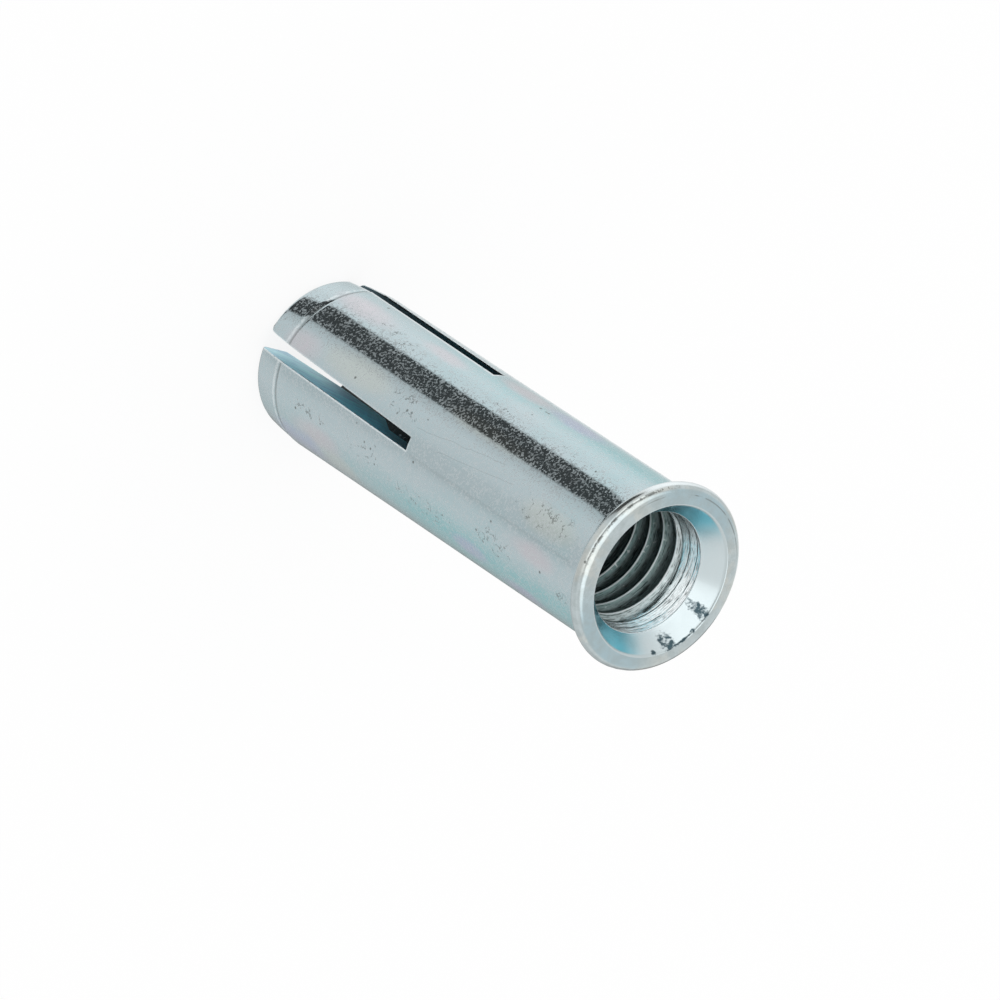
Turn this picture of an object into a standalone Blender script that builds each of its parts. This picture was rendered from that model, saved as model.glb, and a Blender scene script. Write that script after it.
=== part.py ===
"""Flanged drop-in anchor: a slotted, internally threaded sleeve with a flared lip, and its expander plug.

The anchor stands on its expansion end, with its mouth and lip at the top. Metres, +Z up, axis on Z.
"""
from math import cos, pi, radians, sin, tan

import bmesh
import bpy

# Thread, M10 coarse; the rest of the section is built outward and inward from it
THREAD_DIAMETER = 0.0100
THREAD_PITCH = 0.0015
THREAD_DEPTH = 0.0140

# Sleeve, outside
LENGTH = 0.0394
THREAD_WALL = 0.000925
LIP_OVERHANG = 0.00083
LIP_EDGE_ROUND = 0.00055
LIP_FLARE = 0.00135
CREASE_HEIGHT = 0.0030
TIP_SET_IN = 0.000225
TIP_ROUND = 0.00065

# Sleeve, inside; the end flares over a share of the bore below the shoulder
MOUTH_RING = 0.00075
MOUTH_CONE_DEPTH = 0.0016
SHOULDER_LENGTH = 0.0026
SHOULDER_DEPTH = 0.00164
END_FLARE = 0.00068
END_FLARE_SHARE = 0.5135

# Expander plug
PLUG_LENGTH = 0.0095
PLUG_CHAMFER = 0.0004
PLUG_CLEARANCE = 0.0003
PLUG_TO_THREAD = 0.0009
PLUG_TO_SHOULDER = 0.0013

# Slots: two saw cuts, wider at the tip, and a little out of true and out of square
SLOT_WIDTH_TIP = 0.00129
SLOT_WIDTH_END = 0.00098
SLOT_PAST_SHOULDER = 0.0042
SLOT_SKEW = radians(-1.7)
SLOT_OUT_OF_SQUARE = radians(4)
SLOT_OVERRUN = 0.001

# Mesh fineness
TURN_STEPS = 48
THREAD_STEPS = 24
ARC_STEPS = 4
FLARE_STEPS = 6
MERGE = 0.00001

# A 60 degree thread: its crest and root flats as shares of the pitch
THREAD_FLANK = radians(30)
CREST_SHARE = 1 / 4
ROOT_SHARE = 1 / 8
THREAD_HEIGHT = THREAD_PITCH * (1 - CREST_SHARE - ROOT_SHARE) / 2 / tan(THREAD_FLANK)
THREAD_OVERRUN = 0.0002

# Radii, from the thread outward and inward
THREAD_RADIUS = THREAD_DIAMETER / 2
BODY_RADIUS = THREAD_RADIUS + THREAD_WALL
LIP_RADIUS = BODY_RADIUS + LIP_OVERHANG
TIP_RADIUS = BODY_RADIUS - TIP_SET_IN
MOUTH_RADIUS = LIP_RADIUS - LIP_EDGE_ROUND - MOUTH_RING
BORE_RADIUS = THREAD_RADIUS - THREAD_HEIGHT
NECK_RADIUS = BORE_RADIUS - SHOULDER_DEPTH
END_BORE_RADIUS = NECK_RADIUS + END_FLARE

# Heights, from the mouth down: the thread, the plug, its shoulder, the end's flare and the slots' ends
THREAD_BOTTOM = LENGTH - THREAD_DEPTH
PLUG_BOTTOM = THREAD_BOTTOM - PLUG_TO_THREAD - PLUG_LENGTH
SHOULDER_TOP = PLUG_BOTTOM - PLUG_TO_SHOULDER
SHOULDER_BOTTOM = SHOULDER_TOP - SHOULDER_LENGTH
END_FLARE_LENGTH = SHOULDER_BOTTOM * END_FLARE_SHARE
SLOT_END = SHOULDER_TOP + SLOT_PAST_SHOULDER

STEEL = dict(color=(0.60, 0.66, 0.69, 1.0), metallic=1.0, roughness=0.34)
PLUG_STEEL = dict(color=(0.50, 0.52, 0.53, 1.0), metallic=1.0, roughness=0.45)


def clear_scene():
    for obj in list(bpy.data.objects):
        bpy.data.objects.remove(obj, do_unlink=True)


def collection(name):
    made = bpy.data.collections.new(name)
    bpy.context.scene.collection.children.link(made)
    return made


def material(name, color, metallic, roughness):
    made = bpy.data.materials.new(name)
    made.use_nodes = True
    shader = made.node_tree.nodes["Principled BSDF"]
    shader.inputs["Base Color"].default_value = color
    shader.inputs["Metallic"].default_value = metallic
    shader.inputs["Roughness"].default_value = roughness
    return made


def arc(center_r, center_z, radius, start_deg, end_deg):
    """Points of an arc in the profile plane, both ends included; 0 degrees points outward, 90 up."""
    points = []
    for i in range(ARC_STEPS + 1):
        angle = radians(start_deg + (end_deg - start_deg) * i / ARC_STEPS)
        points.append((center_r + radius * cos(angle), center_z + radius * sin(angle)))
    return points


def turned(name, profile, closed, into):
    """A turned solid: a profile at +X, run down its outer side, and a Screw modifier about Z."""
    mesh = bpy.data.meshes.new(name)
    links = [(i, i + 1) for i in range(len(profile) - 1)]
    if closed:
        links.append((len(profile) - 1, 0))
    mesh.from_pydata([(r, 0.0, z) for r, z in profile], links, [])
    obj = bpy.data.objects.new(name, mesh)
    into.objects.link(obj)
    screw = obj.modifiers.new("Turn", "SCREW")
    screw.axis = "Z"
    screw.angle = 2 * pi
    screw.steps = TURN_STEPS
    screw.render_steps = TURN_STEPS
    screw.use_merge_vertices = True
    screw.merge_threshold = MERGE
    screw.use_smooth_shade = True
    return obj


def cut(obj, cutter):
    boolean = obj.modifiers.new("Cut " + cutter.name, "BOOLEAN")
    boolean.operation = "DIFFERENCE"
    boolean.solver = "EXACT"
    boolean.object = cutter
    cutter.hide_render = True
    cutter.display_type = "WIRE"


def sleeve_profile():
    """The sleeve's section, down the outside from the mouth and up the bore."""
    widest = LENGTH - LIP_EDGE_ROUND
    profile = [(MOUTH_RADIUS, LENGTH)]
    profile += arc(LIP_RADIUS - LIP_EDGE_ROUND, widest, LIP_EDGE_ROUND, 90, 0)
    for i in range(1, FLARE_STEPS + 1):
        share = i / FLARE_STEPS
        profile.append((LIP_RADIUS - LIP_OVERHANG * (1 - cos(pi * share)) / 2, widest - LIP_FLARE * share))
    profile.append((BODY_RADIUS, CREASE_HEIGHT))
    profile += arc(TIP_RADIUS - TIP_ROUND, TIP_ROUND, TIP_ROUND, 0, -90)
    profile.append((END_BORE_RADIUS, 0.0))
    profile.append((NECK_RADIUS, END_FLARE_LENGTH))
    profile.append((NECK_RADIUS, SHOULDER_BOTTOM))
    profile.append((BORE_RADIUS, SHOULDER_TOP))
    profile.append((BORE_RADIUS, LENGTH - MOUTH_CONE_DEPTH))
    return profile


def thread_cutter(into):
    """The helical groove of the thread, from its lower end up and out through the mouth."""
    inner = BORE_RADIUS - THREAD_OVERRUN
    root_half = THREAD_PITCH * ROOT_SHARE / 2
    inner_half = root_half + (THREAD_HEIGHT + THREAD_OVERRUN) * tan(THREAD_FLANK)
    section = [
        (inner, inner_half),
        (inner, -inner_half),
        (THREAD_RADIUS, -root_half),
        (THREAD_RADIUS, root_half),
    ]
    start = THREAD_BOTTOM + inner_half
    steps = round((THREAD_DEPTH + THREAD_OVERRUN) / THREAD_PITCH * THREAD_STEPS)
    bm = bmesh.new()
    rings = []
    for i in range(steps + 1):
        angle = 2 * pi * (i + 0.5) / THREAD_STEPS
        rise = start + THREAD_PITCH * i / THREAD_STEPS
        rings.append([bm.verts.new((r * cos(angle), r * sin(angle), rise + dz)) for r, dz in section])
    for low, high in zip(rings, rings[1:]):
        for k in range(len(section)):
            after = (k + 1) % len(section)
            bm.faces.new((low[k], low[after], high[after], high[k]))
    bm.faces.new(rings[0])
    bm.faces.new(rings[-1])
    bmesh.ops.recalc_face_normals(bm, faces=bm.faces)
    mesh = bpy.data.meshes.new("thread_cutter")
    bm.to_mesh(mesh)
    bm.free()
    obj = bpy.data.objects.new("thread_cutter", mesh)
    into.objects.link(obj)
    return obj


def slot_cutter(name, turn, into):
    """A bar right across the sleeve that narrows upward and leans by the skew; its top is the slots' end."""
    reach = 2 * BODY_RADIUS
    below = -SLOT_OVERRUN
    taper = (SLOT_WIDTH_TIP - SLOT_WIDTH_END) / SLOT_END
    bottom_width = SLOT_WIDTH_TIP - taper * below
    bm = bmesh.new()
    bmesh.ops.create_cube(bm, size=1.0)
    for vert in bm.verts:
        top = vert.co.z > 0
        vert.co.x *= 2 * reach
        vert.co.y *= SLOT_WIDTH_END if top else bottom_width
        vert.co.z = SLOT_END if top else below
        vert.co.y += (vert.co.z - SLOT_END / 2) * tan(SLOT_SKEW)
    mesh = bpy.data.meshes.new(name)
    bm.to_mesh(mesh)
    bm.free()
    obj = bpy.data.objects.new(name, mesh)
    obj.rotation_euler.z = turn
    into.objects.link(obj)
    return obj


def plug_profile():
    """The plug's section about its own lower end, down the outside from the top."""
    top = BORE_RADIUS - PLUG_CLEARANCE
    nose = NECK_RADIUS - PLUG_CLEARANCE
    return [
        (0.0, PLUG_LENGTH),
        (top - PLUG_CHAMFER, PLUG_LENGTH),
        (top, PLUG_LENGTH - PLUG_CHAMFER),
        (nose, PLUG_CHAMFER),
        (nose - PLUG_CHAMFER, 0.0),
        (0.0, 0.0),
    ]


def build():
    clear_scene()
    parts = collection("flanged_drop_in_anchor")
    cutters = collection("cutters")

    # Sleeve
    sleeve = turned("sleeve", sleeve_profile(), True, parts)
    sleeve.data.materials.append(material("sleeve_zinc", **STEEL))
    cut(sleeve, thread_cutter(cutters))
    cut(sleeve, slot_cutter("slot_cutter_x", SLOT_OUT_OF_SQUARE, cutters))
    cut(sleeve, slot_cutter("slot_cutter_y", pi / 2, cutters))

    # Expander plug, waiting in the plain bore just under the thread
    plug = turned("expander_plug", plug_profile(), False, parts)
    plug.data.materials.append(material("plug_steel", **PLUG_STEEL))
    plug.location.z = PLUG_BOTTOM


build()
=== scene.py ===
"""Looks of the flanged drop-in anchor: a bright zinc-plated sleeve with a real thread, and its expander plug.

The sleeve and the plug replace the plain CAD solids with finer meshes of the same sizes.
"""
from math import asin, cos, degrees, pi, radians, sin, sqrt, tan

import bmesh
import bpy
from mathutils import Matrix, Vector


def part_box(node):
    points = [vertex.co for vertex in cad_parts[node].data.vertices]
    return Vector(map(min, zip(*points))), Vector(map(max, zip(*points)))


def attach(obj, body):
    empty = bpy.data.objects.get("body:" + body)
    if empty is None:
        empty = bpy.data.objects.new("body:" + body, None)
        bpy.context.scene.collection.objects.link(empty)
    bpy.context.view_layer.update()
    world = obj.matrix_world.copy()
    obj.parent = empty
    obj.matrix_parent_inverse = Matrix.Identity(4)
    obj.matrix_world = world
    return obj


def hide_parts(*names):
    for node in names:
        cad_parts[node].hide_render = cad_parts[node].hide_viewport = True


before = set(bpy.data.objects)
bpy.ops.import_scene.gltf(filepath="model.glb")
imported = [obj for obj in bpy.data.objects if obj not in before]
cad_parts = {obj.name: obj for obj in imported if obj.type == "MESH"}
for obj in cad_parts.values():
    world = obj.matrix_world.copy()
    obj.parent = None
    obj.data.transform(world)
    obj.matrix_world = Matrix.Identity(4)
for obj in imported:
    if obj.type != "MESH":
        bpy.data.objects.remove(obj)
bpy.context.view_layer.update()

MM = 0.001

# Sizes read from the CAD solids
SLEEVE_LOW, SLEEVE_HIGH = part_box("sleeve")
LENGTH = SLEEVE_HIGH[2] - SLEEVE_LOW[2]
LIP_RADIUS = (SLEEVE_HIGH[0] - SLEEVE_LOW[0]) / 2
PLUG_LOW, PLUG_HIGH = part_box("expander_plug")
PLUG_LENGTH = PLUG_HIGH[2] - PLUG_LOW[2]
PLUG_TOP_RADIUS = (PLUG_HIGH[0] - PLUG_LOW[0]) / 2

# Sleeve sizes repeated from part.py
THREAD_RADIUS = 5.0 * MM
THREAD_PITCH = 1.5 * MM
THREAD_DEPTH = 14.0 * MM
BODY_RADIUS = 5.925 * MM
LIP_EDGE_ROUND = 0.55 * MM
LIP_FLARE = 1.35 * MM
CREASE_HEIGHT = 3.0 * MM
TIP_RADIUS = 5.70 * MM
TIP_ROUND = 0.65 * MM
MOUTH_RADIUS = 5.455 * MM
MOUTH_CONE_DEPTH = 1.6 * MM
SHOULDER_TOP = 13.7 * MM
SHOULDER_BOTTOM = 11.1 * MM
NECK_RADIUS = 2.548 * MM
END_BORE_RADIUS = 3.228 * MM
END_FLARE_LENGTH = 5.7 * MM
SLOT_WIDTH_TIP = 1.29 * MM
SLOT_WIDTH_END = 0.98 * MM
SLOT_END = 17.9 * MM
SLOT_SKEW = radians(-1.7)
SLOT_OUT_OF_SQUARE = radians(4)
PLUG_CHAMFER = 0.4 * MM
PLUG_NOSE_RADIUS = NECK_RADIUS - 0.3 * MM

# Thread section, as shares of the pitch
CREST_SHARE = 1 / 4
FLANK_SHARE = (1 - CREST_SHARE - 1 / 8) / 2
THREAD_HEIGHT = THREAD_PITCH * FLANK_SHARE / tan(radians(30))
BORE_RADIUS = THREAD_RADIUS - THREAD_HEIGHT
THREAD_BOTTOM = LENGTH - THREAD_DEPTH
CONE_BOTTOM = LENGTH - MOUTH_CONE_DEPTH

# Fine detail that only the looks carry
LEG_SPREAD = 0.03 * MM
TAPER_BOW = 0.8
CREASE_DEPTH = 0.05 * MM
CREASE_WIDTH = 0.18 * MM
CORNER_ROUND = 0.85 * MM
EDGE_BEVEL = 0.05 * MM
PLUG_EDGE_BEVEL = 0.08 * MM
LIP_SHIFT = Vector((-0.11, -0.17)) * MM
CONE_STRAIGHT = 0.92
MOUTH_EDGE_ROUND = 0.11 * MM
MOUTH_EDGE_TURN = 50
RIM_ROUND = 0.07 * MM
RIM_FROM = -15
RIM_TURN = 65

# Thread's crests, and its lead-in: shallow steps between the full thread and the cone
CREST_PHASE = 0.21 * MM
CREST_ROUND = 0.045
LEAD_IN = 0.20 * MM
LEAD_START = LENGTH - 4.1 * MM
LEAD_STEP_DEPTH = 0.42 * MM
LEAD_STEP_EDGE = 0.08
LEAD_BLEND = 0.75 * MM
LEAD_TOP_BLEND = 0.15 * MM

# Mesh fineness; the section's shares of the pitch lie close together where the thread bends
QUARTER_CELLS = 44
STRIP_CELLS = 2
ARC_CELLS = 8
FLARE_CELLS = 14
RIM_CELLS = 3
CONE_CELLS = 8
MOUTH_EDGE_CELLS = 4
LEG_ROW = 0.7 * MM
PLUG_STEPS = 96
SECTION_SHARES = [
    0.0, 0.04, 0.08, 0.105, 0.125, 0.145, 0.17, 0.22, 0.27, 0.32, 0.37,
    0.41, 0.4375, 0.46, 0.50, 0.54, 0.5625, 0.62, 0.70, 0.78, 0.875, 0.96,
]
RUN_OUT_ROWS = 26
PITCHES_BELOW_THREAD = 2.1
ROW_NUDGE = 1e-6
TINY = 1e-9
SHARP_ANGLE = radians(42)

# Camera, from the sleeve's outline in the photograph
AIM = Vector((0.0018, 0.0011, 0.0209))
AZIMUTH = radians(14.642)
ELEVATION = radians(45.847)
ROLL = radians(123.857)
DISTANCE = 0.6624
LENS = 354.0
SENSOR = 36.0

# The side that faces the camera, as an angle about the axis
FACING = 3 * pi / 2 - AZIMUTH

ZINC, CUT, BORE, CONE, EDGE = range(5)


def ease(share):
    """A smooth step from 0 to 1."""
    share = min(max(share, 0.0), 1.0)
    return share * share * (3 - 2 * share)


# Sleeve shape


def bore_radius(z):
    """The bore from the tip up to the thread: flared end, neck, shoulder and plain bore."""
    steps = [
        (0.0, END_BORE_RADIUS),
        (END_FLARE_LENGTH, NECK_RADIUS),
        (SHOULDER_BOTTOM, NECK_RADIUS),
        (SHOULDER_TOP, BORE_RADIUS),
    ]
    for (low, first), (high, second) in zip(steps, steps[1:]):
        if z <= high:
            return first + (second - first) * (z - low) / (high - low)
    return BORE_RADIUS


def section_depth(share):
    """Depth of the thread at a share of the pitch above a crest's middle: 0 at the crest, 1 at the root."""
    off = min(share, 1 - share) - CREST_SHARE / 2
    if share < 0.5 and abs(off) < CREST_ROUND:
        return (off + CREST_ROUND) ** 2 / (4 * CREST_ROUND) / FLANK_SHARE
    return min(max(off / FLANK_SHARE, 0.0), 1.0)


def lead_depth(share):
    """Depth of the shallow steps near the mouth, two to a pitch, each rising outward like a flank."""
    step = (2 * share) % 1.0
    if step < LEAD_STEP_EDGE:
        return 0.0
    if step < 1 - LEAD_STEP_EDGE:
        return (step - LEAD_STEP_EDGE) / (1 - 2 * LEAD_STEP_EDGE)
    return (1 - step) / LEAD_STEP_EDGE


def thread_radius(share, z):
    """The bore's radius in the threaded stretch, whose last turns are shallow steps below the cone."""
    lead = ease((z - LEAD_START) / LEAD_BLEND)
    top = 1 - ease((z - CONE_BOTTOM) / LEAD_TOP_BLEND + 1)
    near = ease((z - LEAD_START) / (CONE_BOTTOM - LEAD_START))
    crest = BORE_RADIUS + LEAD_IN * near
    full = (THREAD_RADIUS - crest) * section_depth(share) * ease((z - THREAD_BOTTOM) / THREAD_PITCH)
    shallow = LEAD_STEP_DEPTH * (1 - 0.1 * near) * lead_depth(share) * top
    return crest + full * (1 - lead) + shallow * lead


def tip_rows():
    """Radius and height of the outer rows from the tip's end face to just above the crease."""
    rows = []
    for i in range(ARC_CELLS + 1):
        angle = radians(-90 + 90 * i / ARC_CELLS)
        rows.append((TIP_RADIUS - TIP_ROUND + TIP_ROUND * cos(angle), TIP_ROUND + TIP_ROUND * sin(angle)))
    below = CREASE_HEIGHT - CREASE_WIDTH
    for i in range(1, 5):
        z = TIP_ROUND + (below - TIP_ROUND) * i / 4
        share = (z - TIP_ROUND) / (CREASE_HEIGHT - TIP_ROUND)
        rows.append((TIP_RADIUS + (BODY_RADIUS - TIP_RADIUS) * share ** TAPER_BOW, z))
    rows.append((BODY_RADIUS - CREASE_DEPTH, CREASE_HEIGHT - CREASE_WIDTH / 2))
    rows.append((BODY_RADIUS + LEG_SPREAD * 0.6, CREASE_HEIGHT))
    rows.append((BODY_RADIUS + LEG_SPREAD, CREASE_HEIGHT + CREASE_WIDTH))
    return rows


def leg_rows():
    """Rows shared by the legs' outer and inner sides, up to the slots' ends."""
    rows = tip_rows()
    low = rows[-1][1]
    for high in (END_FLARE_LENGTH, SHOULDER_BOTTOM, SHOULDER_TOP, SLOT_END):
        count = max(1, round((high - low) / LEG_ROW))
        for i in range(1, count + 1):
            z = low + (high - low) * i / count
            rows.append((BODY_RADIUS + LEG_SPREAD * (1 - ease(z / SLOT_END)), z))
        low = high
    return rows


def upper_rows():
    """Outer rows from above the slots to the front face, each with its share of the lip's shift."""
    rows = []
    widest = LENGTH - LIP_EDGE_ROUND
    end = widest - LIP_FLARE
    count = round((end - SLOT_END) / (2 * LEG_ROW))
    for i in range(1, count + 1):
        rows.append((BODY_RADIUS, SLOT_END + (end - SLOT_END) * i / count, 0.0))
    for i in range(1, FLARE_CELLS + 1):
        share = (1 - cos(pi * i / FLARE_CELLS)) / 2
        radius = BODY_RADIUS + (LIP_RADIUS - BODY_RADIUS) * share
        rows.append((radius, end + LIP_FLARE * i / FLARE_CELLS, share))
    for i in range(1, ARC_CELLS + 1):
        angle = pi / 2 * i / ARC_CELLS
        radius = LIP_RADIUS - LIP_EDGE_ROUND * (1 - cos(angle))
        rows.append((radius, widest + LIP_EDGE_ROUND * sin(angle), 1.0))
    return rows


def rim_rows():
    """Rows of the small rounded rim between the bore and the cone."""
    low = BORE_RADIUS + LEAD_IN
    rows = []
    for i in range(RIM_CELLS + 1):
        angle = radians(RIM_FROM + RIM_TURN * i / RIM_CELLS)
        rows.append((low + RIM_ROUND * (0.6 - cos(angle)), CONE_BOTTOM + RIM_ROUND * (1 + sin(angle))))
    return rows


def cone_rows():
    """Rows of the mouth's cone, above its lower rim and over its rounded upper edge."""
    low, start = rim_rows()[-1]
    rows = []
    for i in range(1, CONE_CELLS + 1):
        share = i / CONE_CELLS * CONE_STRAIGHT
        rows.append((low + (MOUTH_RADIUS - low) * share, start + (LENGTH - start) * share))
    for i in range(1, MOUTH_EDGE_CELLS + 1):
        angle = radians(MOUTH_EDGE_TURN * (1 - i / MOUTH_EDGE_CELLS))
        radius = MOUTH_RADIUS + MOUTH_EDGE_ROUND * (0.55 - sin(angle))
        rows.append((radius, LENGTH - MOUTH_EDGE_ROUND * (1 - cos(angle)) * 0.9))
    return rows


def slot_edge(slot, side, radius, z):
    """Angle of a slot's edge; slots 0 to 3 lie at +X, +Y, -X and -Y, and on round; side is -1 or 1."""
    z = min(z, SLOT_END)
    half = (SLOT_WIDTH_TIP + (SLOT_WIDTH_END - SLOT_WIDTH_TIP) * z / SLOT_END) / 2
    if slot % 4 == 3 and side == -1 and z < CORNER_ROUND:
        half += CORNER_ROUND - sqrt(CORNER_ROUND ** 2 - (CORNER_ROUND - z) ** 2)
    sense = 1 if slot % 4 < 2 else -1
    offset = (z - SLOT_END / 2) * tan(SLOT_SKEW) + side * sense * half
    turned = 0.0 if slot % 2 else SLOT_OUT_OF_SQUARE
    return slot * pi / 2 + turned + sense * asin(offset / radius)


def columns():
    """The sleeve's columns once round from the slot at -Y: two slot edges and a share of the way between."""
    made = []
    for slot in range(3, 7):
        for i in range(QUARTER_CELLS + 1):
            made.append((slot, 1, slot + 1, -1, i / QUARTER_CELLS))
        for i in range(1, STRIP_CELLS):
            made.append((slot + 1, -1, slot + 1, 1, i / STRIP_CELLS))
    return made


def column_angle(column, radius, z):
    first, first_side, second, second_side, share = column
    low = slot_edge(first, first_side, radius, z)
    high = slot_edge(second, second_side, radius, z)
    return low + (high - low) * share


class SleeveGrid:
    """The sleeve as one closed grid: outer skin, bore, thread, mouth and the slots' sides."""

    def __init__(self):
        self.bm = bmesh.new()
        self.weight = self.bm.edges.layers.float.new("bevel_weight_edge")
        self.columns = columns()
        self.count = len(self.columns)
        self.turn = [column_angle(column, BORE_RADIUS, SLOT_END) for column in self.columns]

    def vert(self, radius, angle, z, shift=0.0):
        x = radius * cos(angle) + LIP_SHIFT.x * shift
        y = radius * sin(angle) + LIP_SHIFT.y * shift
        return self.bm.verts.new((x, y, z))

    def in_strip(self, j):
        """Whether the cell after column j lies over a slot."""
        return j % (QUARTER_CELLS + STRIP_CELLS) >= QUARTER_CELLS

    def leg_ring(self, radius, z):
        """A ring through the slotted stretch; below the slots' ends the strips have no inner columns."""
        row = []
        for j, column in enumerate(self.columns):
            open_here = self.in_strip(j) and self.in_strip(j - 1) and z < SLOT_END - TINY
            row.append(None if open_here else self.vert(radius, column_angle(column, radius, z), z))
        return row

    def flat_ring(self, radius, z, shift=0.0):
        return [self.vert(radius, angle, z, shift) for angle in self.turn]

    def quad(self, a, b, c, d, index):
        face = self.bm.faces.new((a, b, c, d))
        face.material_index = index
        face.smooth = True

    def skin(self, rows, index, slotted=False):
        for low, high in zip(rows, rows[1:]):
            for j in range(self.count):
                if slotted and self.in_strip(j):
                    continue
                k = (j + 1) % self.count
                self.quad(low[j], low[k], high[k], high[j], index)

    def mark(self, a, b):
        """Marks an edge for the bevel."""
        self.bm.edges.get((a, b))[self.weight] = 1.0

    def thread_row(self, heights):
        """A row of the bore with the thread's radius at each column's own height."""
        row = []
        for angle, z in zip(self.turn, heights):
            share = ((z - CREST_PHASE) / THREAD_PITCH - angle / (2 * pi)) % 1.0
            row.append(self.vert(thread_radius(share, z), angle, z))
        return row

    def thread(self, below, above):
        """The thread between two flat rings; its rows climb a pitch a turn, so that crests follow rows."""
        per_turn = len(SECTION_SHARES)
        start = CREST_PHASE + THREAD_PITCH * self.turn[0] / (2 * pi)
        first = int((THREAD_BOTTOM - THREAD_PITCH - start) / THREAD_PITCH)
        turns = int((CONE_BOTTOM - start) / THREAD_PITCH - first - 1)
        climb = [THREAD_PITCH * (angle - self.turn[0]) / (2 * pi) for angle in self.turn]
        rows = []
        for k in range(turns * per_turn + 1):
            pitches = first + k // per_turn + SECTION_SHARES[k % per_turn] + ROW_NUDGE
            height = start + THREAD_PITCH * pitches
            heights = [height + rise for rise in climb]
            rows.append(self.thread_row(heights))
        # From the last climbing row, rows that flatten out towards the rim
        run_out = []
        for i in range(1, RUN_OUT_ROWS):
            share = i / RUN_OUT_ROWS
            run_out.append(self.thread_row([z + (CONE_BOTTOM - z) * share for z in heights]))

        last = self.count - 1
        chain = [below] + rows + run_out + [above]
        for low, high in zip(chain, chain[1:]):
            for j in range(last):
                self.quad(low[j], low[j + 1], high[j + 1], high[j], BORE)
        for k in range(len(rows) - per_turn - 1):
            seam = rows[k + per_turn][0], rows[k + per_turn + 1][0]
            self.quad(rows[k][last], *seam, rows[k + 1][last], BORE)
        # A face each closes the step where the first turn and the last one meet themselves
        bottom = [below[last], below[0]] + [row[0] for row in rows[: per_turn + 1]] + [rows[0][last]]
        top = [row[last] for row in rows[-per_turn - 1 :] + run_out + [above]]
        top += [row[0] for row in reversed([rows[-1]] + run_out + [above])]
        for corners in (bottom, top):
            face = self.bm.faces.new(corners)
            face.material_index = BORE
            face.smooth = True

    def slot_sides(self, outside, inside):
        """The sawn faces, from the tip up to the slots' ends."""
        ring = QUARTER_CELLS + STRIP_CELLS
        for slot in range(4):
            before = ((slot - 1) % 4) * ring + QUARTER_CELLS
            for j in (before, slot * ring):
                for i in range(len(inside) - 1):
                    self.quad(outside[i][j], outside[i + 1][j], inside[i + 1][j], inside[i][j], CUT)
                    self.mark(outside[i][j], outside[i + 1][j])
                self.mark(outside[0][j], inside[0][j])
            strip = [(before + n) % self.count for n in range(STRIP_CELLS + 1)]
            for j, k in zip(strip, strip[1:]):
                self.quad(outside[-1][j], outside[-1][k], inside[-1][k], inside[-1][j], CUT)
                self.mark(outside[-1][j], outside[-1][k])

    def build(self):
        legs = leg_rows()
        outer_legs = [self.leg_ring(radius, z) for radius, z in legs]
        inner_legs = [self.leg_ring(bore_radius(z), z) for _, z in legs]
        outer = [outer_legs[-1]] + [self.flat_ring(*row) for row in upper_rows()]
        plain_end = THREAD_BOTTOM - PITCHES_BELOW_THREAD * THREAD_PITCH
        inner = [inner_legs[-1]] + [
            self.flat_ring(BORE_RADIUS, SLOT_END + (plain_end - SLOT_END) * i / 4) for i in range(1, 5)
        ]
        rim = [self.flat_ring(*row) for row in rim_rows()]
        cone = [rim[-1]] + [self.flat_ring(*row) for row in cone_rows()]
        self.skin(outer_legs, ZINC, slotted=True)
        self.skin(inner_legs, BORE, slotted=True)
        self.skin(outer, ZINC)
        self.skin(inner, BORE)
        self.thread(inner[-1], rim[0])
        self.skin(rim, EDGE)
        self.skin(cone, CONE)
        self.skin([cone[-1], outer[-1]], ZINC)
        self.skin([inner_legs[0], outer_legs[0]], ZINC, slotted=True)
        self.slot_sides(outer_legs, inner_legs)
        bmesh.ops.recalc_face_normals(self.bm, faces=self.bm.faces)
        mesh = bpy.data.meshes.new("sleeve_zinc")
        self.bm.to_mesh(mesh)
        self.bm.free()
        mesh.set_sharp_from_angle(angle=SHARP_ANGLE)
        return mesh


def link(name, mesh):
    obj = bpy.data.objects.new(name, mesh)
    bpy.context.scene.collection.objects.link(obj)
    return obj


# Node helpers


def grey(level):
    return (level, level, level, 1.0)


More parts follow.
